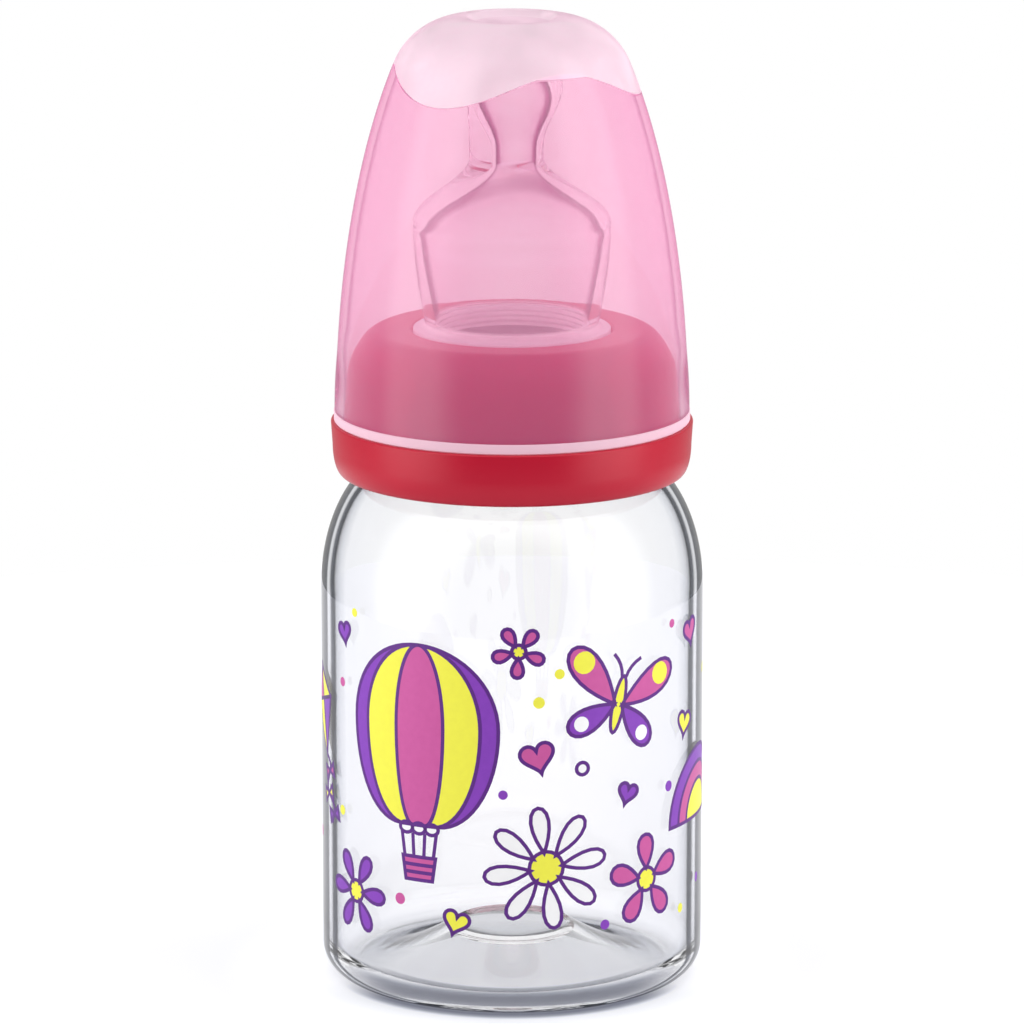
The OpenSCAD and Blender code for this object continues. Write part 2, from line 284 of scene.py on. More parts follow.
satinLook = dict(  # the same plastic, spark-eroded in the mould, drawn coarse enough to show
    capLook, roughness=0.42, skinMm=0.3, skinDepthMm=0.01, haze=0.55, hazeColour="#FFE6F2",
    # its inner wall takes a faint painted shade by slant
    cloudMm=4, cloud=0.35, innerTintAndEdgeShade=[(0.0, "#FFFBFD"), (1.0, "#F2D4E4")])


footLook = dict(  # the same plastic at its cut edge, which gathers light, painted here as a thick pale haze
    capLook, roughness=0.1, haze=0.85, hazeThrough=0.1, hazeColour="#FFD8E9")


ringLook = {  # opaque red polypropylene: deep colour under broad soft highlights
    "colour": "#C0042C",
    "shade": "#B20328",
    "flowMm": 9,  # size of the faint clouds that the melt's flow leaves
    "ior": 1.49,
    "specular": 0.4,  # the satin skin gives back less than a polished one
    "roughness": (0.26, 0.36),
    "grainMm": 0.35,  # fine satin of the mould's wall, drawn a little coarse so that it shows
    "grainDepthMm": 0.0006,
}


def redPolypropylene():
    look = ringLook
    material, tree = newMaterial("redPolypropylene")
    coords = objectCoords(tree)
    flow = noiseOf(tree, coords, look["flowMm"], 3.0)
    grain = noiseOf(tree, coords, look["grainMm"], 3.0)
    plastic = addNode(tree, "ShaderNodeBsdfPrincipled", {
        "Base Color": mixOf(tree, flow, linear(look["shade"]), linear(look["colour"])),
        "Roughness": rangeOf(tree, grain, (0.0, 1.0), look["roughness"]), "IOR": look["ior"],
        "Specular IOR Level": look["specular"], "Normal": bumpOf(tree, grain, look["grainDepthMm"])})
    addNode(tree, "ShaderNodeOutputMaterial", {"Surface": plastic.outputs["BSDF"]})
    return material


inkLook = {  # opaque screen-printed ink: flat colour with a faint mesh grain and a satin gloss
    "patchMm": 0.9,  # size of the patches where the ink lies thinner
    "grainMm": 0.25,
    "grainDepthMm": 0.003,
    "roughness": 0.42,
    "ior": 1.48,
}


def screenInk(name, colour, thinColour):
    look = inkLook
    material, tree = newMaterial(name)
    coords = objectCoords(tree)
    patches = noiseOf(tree, coords, look["patchMm"], 3.0)
    grain = noiseOf(tree, coords, look["grainMm"], 2.0)
    surface = addNode(tree, "ShaderNodeBsdfPrincipled", {
        "Base Color": mixOf(tree, patches, linear(colour), linear(thinColour)),
        "Roughness": look["roughness"], "IOR": look["ior"],
        "Normal": bumpOf(tree, grain, look["grainDepthMm"])})
    addNode(tree, "ShaderNodeOutputMaterial", {"Surface": surface.outputs[0]})
    return material


# Camera and studio

cameraSpec = {  # metres
    "place": (0, -0.900, 0.266),
    "aim": (0, 0, 0.064),
    "lensMm": 238.9,
    "clipStart": 0.05,
}


def turnTowards(thing, aim):
    thing.rotation_euler = (Vector(aim) - thing.location).to_track_quat("-Z", "Y").to_euler()


def makeCamera():
    data = bpy.data.cameras.new("camera")
    data.lens = cameraSpec["lensMm"]
    data.clip_start = cameraSpec["clipStart"]
    camera = bpy.data.objects.new("camera", data)
    camera.location = cameraSpec["place"]
    turnTowards(camera, cameraSpec["aim"])
    scene.collection.objects.link(camera)
    scene.camera = camera


studioSpec = {  # metres, but for the rings on the paper
    "ambient": 0.68,
    "openingEdges": (-0.55, -0.88),  # the light tent is open where the camera stands
    "openingGloss": 0.0,  # and polished faces show that
    "openingBehindWalls": 0.1,  # how much of it shows in what lies behind clear walls
    "sideEdges": (-0.2, 0.15),
    "sideGloss": 2.4,  # the softboxes at the sides are brighter than the tent behind the object
    "backGloss": 0.45,
    "scattered": 0.6,  # what light scattered behind clear walls still finds outside
    "softboxWatts": 10.0,
    "backWatts": 6.0,  # lights the print's inner side, seen through the far wall
    "softboxSize": (1.2, 1.6),
    "softboxTurn": 80,
    "softboxDistance": 1.0,
    "softboxHeight": 0.30,
    "softboxAim": (0, 0, 0.07),
    "floorRadius": 0.25,
    "floorDrop": 0.0001,
    "paintedShadowReach": 40,  # millimetres
    "paintedContactShadow": [  # the paper from the axis outwards, with painted shadow: a dark ring where the base stands on it, as little light gets in there
        (0.0, "#F4F4F8"), (0.46, "#ECECF1"), (0.49, "#9496A2"), (0.54, "#868894"), (0.58, "#787A88"),
        (0.605, "#9699A4"), (0.63, "#D4D5DA"), (0.8, "#E6E6E8"), (1.0, "#D6D6D9")],
    "behind": [(0.0, "#E4E4E8"), (0.7, "#E4E4E8"), (1.0, "#D6D6D9")],  # its back half, painted lighter as if lit from behind, without the dark ring
    "paintedLitBackEdges": (-17, -6),  # millimetres
    "paintedLitBackShare": 0.9,
    "floorLift": 0.35,
    "floorLiftDirect": 0.5,  # where no glass lies before it, which keeps the backdrop white
}


def makeLamp(name, turn, watts):
    data = bpy.data.lights.new(name, "AREA")
    data.shape = "RECTANGLE"
    data.size, data.size_y = studioSpec["softboxSize"]
    data.energy = watts
    lamp = bpy.data.objects.new(name, data)
    angle = math.radians(turn - 90)
    distance = studioSpec["softboxDistance"]
    lamp.location = (distance*math.cos(angle), distance*math.sin(angle), studioSpec["softboxHeight"])
    turnTowards(lamp, studioSpec["softboxAim"])
    lamp.visible_camera = False
    lamp.visible_transmission = False
    lamp.visible_glossy = False  # its outline would show in the clear walls
    scene.collection.objects.link(lamp)


def raysOf(tree):  # the ray's own outputs, and 1 for a ray that carries what the picture shows
    rays = addNode(tree, "ShaderNodeLightPath", {}).outputs
    seen = mathOf(tree, "MAXIMUM", rays["Is Camera Ray"], rays["Is Transmission Ray"])
    return rays, mathOf(tree, "MAXIMUM", seen, rays["Is Glossy Ray"])


def makeWorld():  # a white light tent: even light all round, and dark mirrored where it is open
    spec = studioSpec
    world = bpy.data.worlds.new("lightTent")
    world.use_nodes = True
    tree = world.node_tree
    tree.nodes.clear()
    rays, shownRay = raysOf(tree)
    direction = addNode(tree, "ShaderNodeTexCoord", {})
    depth = addNode(tree, "ShaderNodeSeparateXYZ", {"Vector": direction.outputs["Generated"]}).outputs["Y"]
    opening = rangeOf(tree, depth, spec["openingEdges"], (1.0, spec["openingGloss"]), "SMOOTHSTEP")
    sides = rangeOf(tree, depth, spec["sideEdges"], (spec["sideGloss"], spec["backGloss"]), "SMOOTHSTEP")
    tent = mathOf(tree, "MULTIPLY", opening, sides)
    mirrored = mathOf(tree, "GREATER_THAN", rays["Glossy Depth"], 0.5)
    walled = rangeOf(tree, rays["Transmission Depth"], (0.0, 1.0), (1.0, spec["openingBehindWalls"]))
    clear = rangeOf(tree, mathOf(tree, "MULTIPLY", mirrored, walled), (0.0, 1.0), (1.0, tent))
    direct = rangeOf(tree, rays["Diffuse Depth"], (0.0, 1.0), (1.0, spec["scattered"]))
    shown = mathOf(tree, "MULTIPLY", clear, direct)
    strength = rangeOf(tree, shownRay, (0.0, 1.0), (spec["ambient"], shown))
    light = addNode(tree, "ShaderNodeBackground", {"Color": (1, 1, 1, 1), "Strength": strength})
    addNode(tree, "ShaderNodeOutputWorld", {"Surface": light.outputs[0]})
    scene.world = world


def makeFloor():  # white paper, which keeps the object's shadow, and a painted shadow ring round the base
    spec = studioSpec
    material, tree = newMaterial("paleFloor")
    rays, shownRay = raysOf(tree)
    coords = objectCoords(tree)
    radius = addNode(tree, "ShaderNodeVectorMath", {0: coords}, operation="LENGTH").outputs["Value"]
    # Painted shadow: the paper's colour darkens in a ring where the base stands, less so towards the back
    reach = rangeOf(tree, radius, (0.0, spec["paintedShadowReach"]*mm), (0.0, 1.0))
    depth = addNode(tree, "ShaderNodeSeparateXYZ", {"Vector": coords}).outputs["Y"]
    edges = [v*mm for v in spec["paintedLitBackEdges"]]
    behind = rangeOf(tree, depth, edges, (0.0, spec["paintedLitBackShare"]), "SMOOTHSTEP")
    colour = mixOf(tree, behind, rampOf(tree, reach, spec["paintedContactShadow"]), rampOf(tree, reach, spec["behind"]))
    paper = addNode(tree, "ShaderNodeBsdfDiffuse", {"Color": colour})
    glassLift = mathOf(tree, "MULTIPLY", shownRay, spec["floorLift"])
    directLift = mathOf(tree, "MULTIPLY", rays["Is Camera Ray"], spec["floorLiftDirect"])
    glow = addNode(tree, "ShaderNodeEmission", {
        "Color": colour, "Strength": mathOf(tree, "MAXIMUM", glassLift, directLift)})
    both = addNode(tree, "ShaderNodeAddShader", {0: paper.outputs[0], 1: glow.outputs[0]})
    addNode(tree, "ShaderNodeOutputMaterial", {"Surface": both.outputs[0]})
    bm = bmesh.new()
    bmesh.ops.create_circle(bm, cap_ends=True, segments=96, radius=spec["floorRadius"])
    floor = finishMesh("floor", bm, [material])
    floor.location.z = -spec["floorDrop"]


makeCamera()
makeWorld()
makeFloor()
makeLamp("softboxLeft", -studioSpec["softboxTurn"], studioSpec["softboxWatts"])
makeLamp("softboxRight", studioSpec["softboxTurn"], studioSpec["softboxWatts"])
makeLamp("softboxBack", 180, studioSpec["backWatts"])
print("camera and studio set")


# Bottle

bottleSpec = {  # millimetres
    "wall": 1.4,
    "baseThickness": 1.6,
    "heelRadius": 4.0,
    "innerHeelRadius": 4.0,
    "standRadius": 19.5,
    "pushUp": 5.0,  # how far the underside rises inside the standing ring
    "crestRadius": 8.0,
    "dimple": 1.2,
    "dimpleFlat": 3,  # 2 would be a plain bowl
    "coneFlare": 1.5,  # 1 would be a straight cone
    "wallTop": 54.0,
    "shoulderHeight": 18.0,
    "shoulderWidth": 11.0,
    "neckRadius": 17.2,
    "neckWall": 1.6,
    "neckBoreFoot": 72.2,
    "rimRound": 0.4,
    "printRelief": 0.04,  # the wall lies this far inside the frame's, which leaves room for the ink
}

threadSpec = {  # millimetres; the ring's thread is the same helix half a pitch lower
    "pitch": 4.5,
    "turns": 1.6,
    "firstTurn": 75.2,
    "height": 1.15,
    "halfWidth": 1.15,
    "flank": 0.55,
    "fadeDegrees": 25,
}


def threadAt(angle, z, startZ, turns):  # 1 on the crest of the helix, 0 beside it
    spec = threadSpec
    best = 0
    for lap in range(math.ceil(turns) + 1):
        travelled = angle % (2*math.pi) + 2*math.pi*lap
        left = 2*math.pi*turns - travelled
        if left < 0:
            continue
        fade = min(1, travelled/math.radians(spec["fadeDegrees"]), left/math.radians(spec["fadeDegrees"]))
        away = abs(z - startZ - spec["pitch"]*travelled/(2*math.pi))
        best = max(best, ease((spec["halfWidth"] - away)/spec["flank"])*ease(fade))
    return best


def pushUpZ(r):  # height of the underside at that radius
    spec = bottleSpec
    crest, stand = spec["crestRadius"], spec["standRadius"]
    if r < crest:
        return spec["pushUp"] - spec["dimple"]*(1 - (r/crest)**spec["dimpleFlat"])
    return spec["pushUp"]*max(0, 1 - (r - crest)/(stand - crest))**spec["coneFlare"]


def makeBottle():
    spec = bottleSpec
    high = boxMm("bottle")[1]
    bodyRadius, rim = high.x - spec["printRelief"], high.z
    boreRadius = bodyRadius - spec["wall"]
    neck, neckBore = spec["neckRadius"], spec["neckRadius"] - spec["neckWall"]
    outerW, outerH = spec["shoulderWidth"], spec["shoulderHeight"]
    innerW, innerH = outerW - spec["wall"], outerH - spec["wall"]
    shoulderX, top = bodyRadius - outerW, spec["wallTop"]
    outerEnd = math.degrees(math.acos((neck - shoulderX)/outerW))
    innerEnd = math.degrees(math.acos((neckBore - shoulderX)/innerW))
    heel, innerHeel, rimRound = spec["heelRadius"], spec["innerHeelRadius"], spec["rimRound"]
    baseZ = spec["baseThickness"]
    crest, stand = spec["crestRadius"], spec["standRadius"]
    radii = [crest*i/14 for i in range(14)] + [crest + (stand - crest)*i/20 for i in range(21)]
    underside = [(r, pushUpZ(r)) for r in radii]
    shoulder = arc(shoulderX, top, outerW, outerH, 0, outerEnd, 28)
    neckFoot = shoulder[-1][1]
    # The straight runs start a little past the curves
    outside = (
        underside
        + arc(bodyRadius - heel, heel, heel, heel, -90, 0, 12)
        + line((bodyRadius, heel + 1), (bodyRadius, top), 12)
        + shoulder
        + line((neck, neckFoot + 0.3), (neck, rim - rimRound), 64)
        + arc(neck - rimRound, rim - rimRound, rimRound, rimRound, 0, 90, 6))
    inside = (
        arc(neckBore + rimRound, rim - rimRound, rimRound, rimRound, 90, 180, 6)
        + line((neckBore, rim - 1), (neckBore, spec["neckBoreFoot"]), 10)
        + arc(shoulderX, top, innerW, innerH, innerEnd, 0, 28)
        + line((boreRadius, top - 2), (boreRadius, baseZ + innerHeel + 1), 12)
        + arc(boreRadius - innerHeel, baseZ + innerHeel, innerHeel, innerHeel, 0, -90, 14)
        + [(r, z + baseZ) for r, z in reversed(underside)])
    outline = outside + inside

    def sectionAt(angle):
        points = []
        for r, z in outline:
            if r == neck and z > neckFoot:
                r += threadSpec["height"]*threadAt(angle, z, threadSpec["firstTurn"], threadSpec["turns"])
            points.append((r, z))
        return spun(points, angle)

    piece = lathe("bottleShell", sectionAt, [clearMoulding("clearCopolyester", bottleLook)], len(outside))
    place(piece, "bottle", "clear_bottle", "bottle")


makeBottle()
print("bottle made")


# Printed design: a hot-air balloon, a butterfly, a kite, flowers, hearts and dots

printSpec = {  # millimetres
    "grip": 0.01,  # how far the ink keys into the wall
    "rise": {  # each ink lies on those printed before it
        "Purple": 0.01, "Pink": 0.013, "White": 0.016, "Yellow": 0.019, "Line": 0.03},
    "lineWidth": 0.5,
    "cutDegrees": 2,  # flat shapes are cut this often, so that they follow the round wall
    "reachDegrees": 110,
    "colours": {  # each ink and the shade that its thin spots show
        "Yellow": ("#F9F64A", "#F0EC48"), "Purple": ("#8A3DBE", "#7E35B2"),
        "Pink": ("#CF5AA2", "#C65098"), "White": ("#FFFFFF", "#F8F8FA"), "Line": ("#5C1B86", "#541879")},
}
inkShapes = {ink: [] for ink in printSpec["colours"]}  # closed outlines: (distance round the wall, height)
inkLines = []  # (points, closed)


def turned(points, u, v, degrees=0.0, size=1.0):  # moves a shape drawn about the origin to its place
    c, s = size*math.cos(math.radians(degrees)), size*math.sin(math.radians(degrees))
    return [(u + c*x - s*y, v + s*x + c*y) for x, y in points]


def oval(w, h, steps=28):
    return [(w*math.cos(2*math.pi*i/steps), h*math.sin(2*math.pi*i/steps)) for i in range(steps)]


def drop(length, width, steps=22):  # a petal or wing with its tip at the origin, along +x
    angles = [2*math.pi*i/steps for i in range(steps)]
    widest = 1.54  # makes width the full width
    return [(length*(1 - math.cos(a))/2, width*math.sin(a)*math.sin(a/2)/widest) for a in angles]


def heartShape(steps=36):  # 2 wide about the origin
    angles = [2*math.pi*i/steps for i in range(steps)]
    return [(math.sin(a)**3, (13*math.cos(a) - 5*math.cos(2*a) - 2*math.cos(3*a) - math.cos(4*a))/16)
            for a in angles]


def drawn(ink, points, outlined=True):
    inkShapes[ink].append(points)
    if outlined:
        inkLines.append((points, True))


def drawBalloon(u, v, w, tail, mouth):  # half width, length below the middle, half width of the mouth
    def side(k):
        points = []
        for i in range(31):
            a = math.radians(-90 + 6*i)
            half = w*math.cos(a) if a > 0 else mouth + (w - mouth)*math.cos(a)
            points.append((u + k*half, v + (w if a > 0 else tail)*math.sin(a)))
        return points

    seams = [-1.0, -0.78, -0.32, 0.32, 0.78, 1.0]
    for left, right, ink in zip(seams, seams[1:], ["Purple", "Yellow", "Pink", "Yellow", "Purple"]):
        inkShapes[ink].append(side(left) + side(right)[-2::-1])
    for k in seams[1:-1]:
        inkLines.append((side(k), False))
    inkLines.append((side(-1.0) + side(1.0)[-2::-1], True))
    foot = v - tail
    for i in range(-1, 2):  # scallops along the mouth
        drawn("White", turned(oval(mouth/3, 0.75, 16), u + i*mouth*2/3, foot - 0.45))
    for k in (-1.0, -0.35, 0.35, 1.0):
        inkLines.append(([(u + k*mouth*0.9, foot - 1.1), (u + k*mouth*0.75, foot - 4.4)], False))
    basket = [(-0.86*mouth, 0), (-0.7*mouth, -3.2), (0.7*mouth, -3.2), (0.86*mouth, 0)]
    drawn("Pink", turned(basket, u, foot - 4.4))
    for bandZ in (foot - 5.5, foot - 6.55):
        inkLines.append(([(u - 0.78*mouth, bandZ), (u + 0.78*mouth, bandZ)], False))


def drawButterfly(u, v, size, lean):
    for side in (-1, 1):
        for ink, length, width, angle in (("Pink", 8.2, 3.3, 38), ("Purple", 6.0, 2.7, -38)):
            wing = turned(drop(length, width), 0.45, 0, angle)
            drawn(ink, turned([(side*x, y) for x, y in wing], u, v, lean, size))
        for ink, r, x, y in (("Yellow", 1.25, 5.2, 3.9), ("White", 0.85, 3.9, -2.7)):
            drawn(ink, turned(turned(oval(r, r, 16), side*x, y), u, v, lean, size), False)
        feeler = [(side*(0.25 + 0.5*t + 1.1*t*t), 3.0 + 2.8*t - 0.5*t*t) for t in (0, 0.25, 0.5, 0.75, 1)]
        inkLines.append((turned(feeler, u, v, lean, size), False))
    drawn("Yellow", turned(oval(0.7, 3.1, 20), u, v, lean, size))


def drawFlower(u, v, petals, length, width, heart, petalInk, heartInk, lean=0.0):
    for i in range(petals):
        angle = lean + 360*i/petals
        petal = turned(drop(length, width, 16), heart*0.92, 0)
        drawn(petalInk, turned(petal, u, v, angle))
    drawn(heartInk, turned(oval(heart, heart, 20), u, v))


def drawKite(u, v, size, lean):
    corners = [(0, 6.2), (4.1, 1.4), (0, -6.6), (-4.1, 1.4)]
    middle = (0, 1.4)
    for i, ink in enumerate(("Yellow", "Purple", "Yellow", "Pink")):
        drawn(ink, turned([corners[i], corners[(i + 1) % 4], middle], u, v, lean, size))
    tail = [(1.1*math.sin(i*0.62), -6.6 - 0.62*i) for i in range(17)]
    inkLines.append((turned(tail, u, v, lean, size), False))
    for i, ink in ((4, "Pink"), (9, "Yellow"), (14, "Purple")):
        x, y = tail[i]
        for side in (-1, 1):
            bow = [(x, y), (x + side*1.7, y + 0.95), (x + side*1.7, y - 0.95)]
            drawn(ink, turned(bow, u, v, lean, size))


def drawRainbow(u, v, radii, inks):  # half discs, each printed over the one before
    def arch(r):
        return [(u + r*math.cos(math.radians(a)), v + r*math.sin(math.radians(a))) for a in range(0, 181, 6)]

    for r, ink in zip(radii, inks):
        drawn(ink, arch(r), False)
        inkLines.append((arch(r), r == radii[0]))


def ribbon(points, closed):  # the two edges of a drawn line, point by point
    half = printSpec["lineWidth"]/2
    sharpest = 0.45  # keeps a sharp corner from running out in a spike
    count = len(points)
    edges = []
    for i, (x, y) in enumerate(points):
        before = points[i - 1] if closed or i else points[i]
        after = points[(i + 1) % count] if closed or i < count - 1 else points[i]
        a = Vector((x - before[0], y - before[1]))
        b = Vector((after[0] - x, after[1] - y))
        a = a.normalized() if a.length else b.normalized()
        b = b.normalized() if b.length else a
        along = (a + b).normalized() if (a + b).length > 0.2 else a
        stretch = half/max(sharpest, along.dot(a))
        acrossX, acrossY = -along.y*stretch, along.x*stretch
        edges.append(((x + acrossX, y + acrossY), (x - acrossX, y - acrossY)))
    return edges


def inkPiece(name, ink, slot):
    spec = printSpec
    wall = boxMm("bottle")[1].x - bottleSpec["printRelief"]
    flat = bmesh.new()
    if ink == "Line":
        for points, closed in inkLines:
            edges = [[flat.verts.new((x, y, 0)) for x, y in edge] for edge in ribbon(points, closed)]
            for a, b in zip(edges, edges[1:] + edges[:1] if closed else edges[1:]):
                flat.faces.new((a[0], a[1], b[1], b[0]))
    for points in inkShapes[ink]:
        flat.faces.new([flat.verts.new((x, y, 0)) for x, y in points])
    bmesh.ops.triangulate(flat, faces=flat.faces, ngon_method="EAR_CLIP")
    cut = math.radians(spec["cutDegrees"])*wall
    cuts = spec["reachDegrees"]//spec["cutDegrees"]
    for i in range(-cuts, cuts + 1):
        bmesh.ops.bisect_plane(
            flat, geom=flat.verts[:] + flat.edges[:] + flat.faces[:], dist=1e-5,
            plane_co=(i*cut, 0, 0), plane_no=(1, 0, 0))
    flat.verts.index_update()
    bm = bmesh.new()

    def wrapped(r):  # the flat drawing rolled to a cylinder of that radius
        return [bm.verts.new(Vector((r*math.sin(v.co.x/wall), -r*math.cos(v.co.x/wall), v.co.y))*mm)
                for v in flat.verts]

    top, bottom = wrapped(wall + spec["rise"][ink]), wrapped(wall - spec["grip"])
    for face in flat.faces:
        corners = [v.index for v in face.verts]
        bm.faces.new([top[i] for i in corners])
        bm.faces.new([bottom[i] for i in reversed(corners)])
    for edge in flat.edges:
        if edge.is_boundary:
            a, b = (v.index for v in edge.verts)
            bm.faces.new((top[a], top[b], bottom[b], bottom[a]))
    flat.free()
    piece = finishMesh(name, bm, [screenInk(f"screenInk{ink}", *spec["colours"][ink])])
    piece.visible_glossy = False  # keeps its ghost off the far wall
    place(piece, "bottle", slot)


# Places are millimetres round the wall from its front, then the height
drawBalloon(-13.0, 39.8, 11.2, 13.6, 2.9)
drawButterfly(15.0, 42.6, 1.25, -14)
drawKite(-35.5, 38.0, 0.95, 16)
drawFlower(4.6, 21.0, 8, 6.3, 2.45, 2.3, "White", "Yellow", 8)
drawFlower(20.0, 17.6, 5, 4.8, 2.8, 1.6, "Pink", "Yellow", 20)
drawFlower(-24.5, 15.0, 6, 4.4, 2.1, 1.5, "Purple", "Yellow", 0)
drawFlower(0.9, 50.8, 5, 2.7, 1.6, 0.95, "Pink", "Yellow", 50)
drawRainbow(34.5, 23.5, (9.6, 7.3, 4.9), ("Purple", "Pink", "Yellow"))
for ink, u, v, size, lean in (
        ("Pink", 3.4, 36.4, 2.3, 14), ("Yellow", 28.8, 37.6, 1.9, -12), ("Purple", 16.6, 30.2, 1.6, -20),
        ("Yellow", -7.6, 13.4, 1.8, -16), ("Pink", 30.5, 50.0, 2.0, 10), ("Purple", -27.2, 50.5, 1.6, 12)):
    drawn(ink, turned(heartShape(), u, v, lean, size))
for ink, u, v, r in (
        ("Yellow", 3.6, 43.8, 0.8), ("Purple", 24.6, 29.6, 0.75), ("Pink", -16.0, 15.6, 0.8),
        ("Pink", 25.2, 52.0, 0.6), ("Yellow", 6.4, 47.6, 0.7), ("Purple", -1.2, 31.2, 0.65),
        ("Yellow", -28.0, 25.5, 0.7), ("Pink", -38.5, 20.0, 0.8), ("Purple", 13.0, 12.4, 0.7),
        ("Pink", -27.8, 43.4, 0.65), ("Yellow", -24.6, 53.6, 0.6), ("Yellow", 38.5, 43.0, 0.8),
        ("Purple", 34.0, 14.6, 0.7), ("Yellow", 27.8, 11.8, 0.65), ("White", 9.6, 34.4, 0.85)):
    drawn(ink, turned(oval(r, r, 16), u, v), ink == "White")
inkPiece("printYellow", "Yellow", "print_yellow")
inkPiece("printPurple", "Purple", "print_purple")
inkPiece("printPink", "Pink", "print_pink")
inkPiece("printWhite", "White", "print_white")
inkPiece("printOutlines", "Line", "print_purple")
print("print made")


# Screw ring

ringSpec = {  # millimetres
    "domeRadius": 22.7,
    "flangeHeight": 7.2,
    "flangeDraft": 0.2,
    "flangeRoundWidth": 1.2,
    "flangeRoundHeight": 4.0,
    "ledgeRound": 0.25,
    "domeFillet": 0.25,
    "domeFlat": 3.0,
    "domeRoundWidth": 5.0,
    "topThickness": 2.1,
    "holeRadius": 13.5,
    "holeRound": 0.5,
    "skin": 1.6,
    "skirtLip": 0.3,
    "sleeveBore": 18.7,
    "sleeveWall": 1.5,
    "sleeveFoot": 71.94,
    "ribCount": 12,
    "ribThickness": 0.9,
    "ribLift": 1.5,
    "ribBite": 0.2,  # how far the ribs run into the walls they join
    "threadHeight": 1.2,
    "threadStart": 0.6,  # below the shelf
}

redMaterial = redPolypropylene()


def ringGap(bite=0.0):  # section of the gap between the sleeve and the outer skin
    spec = ringSpec
    low, high = boxMm("screw_ring")
    ledge = low.z + spec["flangeHeight"]
    sleeve = spec["sleeveBore"] + spec["sleeveWall"]
    domeZ = ledge + spec["domeFlat"]
    domeX = spec["domeRadius"] - spec["domeRoundWidth"]
    w = spec["domeRoundWidth"] - spec["skin"]
    h = high.z - domeZ - spec["skin"]
    end = math.degrees(math.acos((sleeve - domeX)/w))
    return (
        arc(domeX, domeZ, w + bite, h + bite, end, 0, 12)
        + [(spec["domeRadius"] - spec["skin"] + bite, ledge - spec["skin"] + bite)]
        + [(high.x - spec["skin"] + bite, ledge - spec["skin"] + bite)])


def makeRing():
    spec = ringSpec
    low, high = boxMm("screw_ring")
    flange, foot, top = high.x, low.z, high.z
    ledge = foot + spec["flangeHeight"]
    shelf = top - spec["topThickness"]
    sleeve = spec["sleeveBore"] + spec["sleeveWall"]
    domeZ = ledge + spec["domeFlat"]
    domeX = spec["domeRadius"] - spec["domeRoundWidth"]
    lowRadius = flange - spec["flangeDraft"]
    roundW, roundH = spec["flangeRoundWidth"], spec["flangeRoundHeight"]
    ledgeRound, fillet = spec["ledgeRound"], spec["domeFillet"]
    hole, holeRound, bore = spec["holeRadius"], spec["holeRound"], spec["sleeveBore"]
    outline = (
        arc(lowRadius - roundW, foot + roundH, roundW, roundH, -90, 0, 16)
        + arc(flange - ledgeRound, ledge - ledgeRound, ledgeRound, ledgeRound, 0, 90, 6)
        + [(spec["domeRadius"] + fillet, ledge)]
        + arc(spec["domeRadius"] + fillet, ledge + fillet, fillet, fillet, -90, -180, 4)
        + arc(domeX, domeZ, spec["domeRoundWidth"], top - domeZ, 0, 90, 28)
        + arc(hole + holeRound, top - holeRound, holeRound, holeRound, 90, 180, 8)
        + [(hole, shelf), (bore, shelf)]
        + line((bore, shelf - spec["threadStart"]), (bore, spec["sleeveFoot"]), 60)
        + [(bore, spec["sleeveFoot"]), (sleeve, spec["sleeveFoot"])]
        + ringGap()
        + [(flange - spec["skin"], foot + spec["skirtLip"])])

    def sectionAt(angle):
        points = []
        for r, z in outline:
            if r == bore and z < shelf:
                start = threadSpec["firstTurn"] - threadSpec["pitch"]/2
                r -= spec["threadHeight"]*threadAt(angle, z, start, threadSpec["turns"])
            points.append((r, z))
        return spun(points, angle)

    piece = lathe("ringShell", sectionAt, [redMaterial])
    place(piece, "ring", "red_ring", "screw_ring")


def makeRingRibs():
    spec = ringSpec
    bm = bmesh.new()
    sleeve = spec["sleeveBore"] + spec["sleeveWall"] - spec["ribBite"]
    foot = spec["sleeveFoot"] + spec["ribLift"]
    gap = ringGap(spec["ribBite"])
    outline = [(sleeve, foot), (gap[-1][0], foot)] + list(reversed(gap)) + [(sleeve, gap[0][1])]
    for i in range(spec["ribCount"]):
        angle = 2*math.pi*i/spec["ribCount"]
        across = Vector((-math.sin(angle), math.cos(angle), 0))*spec["ribThickness"]/2
        faces = []
        for side in (-1, 1):
            corners = [bm.verts.new((Vector(p) + across*side)*mm) for p in spun(outline, angle)]
            faces.append(corners)
            bm.faces.new(corners)
        for j in range(len(outline)):
            k = (j + 1) % len(outline)
            bm.faces.new((faces[0][j], faces[0][k], faces[1][k], faces[1][j]))
    piece = finishMesh("ringRibs", bm, [redMaterial])
    place(piece, "ring", "red_ring")


makeRing()
makeRingRibs()
print("screw ring made")


# Teat

teatSpec = {  # millimetres
    "flangeThickness": 2.0,
    "flangeRound": 0.2,
    "plugRadius": 13.35,
    "plugLift": 0.2,
    "plugStep": 1.55,
    "plugRound": 0.2,
    "bellFillet": 0.8,
    "wall": 1.4,
    "bellWall": 1.0,
    "recessRadius": 13.6,
    "recessHeight": 1.6,
    "recessSlope": 0.25,  # rise for each millimetre inwards
    "gripRing": 0.16,  # the fine rings round the plug's bore
    "bellRadius": 13.35,
    "bellHeight": 14.3,
    "slopeHeight": 8.8,
    "waistHeight": 1.5,
    "waistRadius": 5.0,
    "waistShift": -0.75,
    "bulbRadius": 6.45,
    "bulbShift": 0.37,
    "tipHeight": 4.6,
    "bulbFlat": 0.88,
    "channelRadius": 2.75,
    "channelShift": 0.33,
    "slopeWall": 1.3,
    "bulbWall": 1.45,
    "tipWall": 1.5,
    "nippleSteps": 16,
}


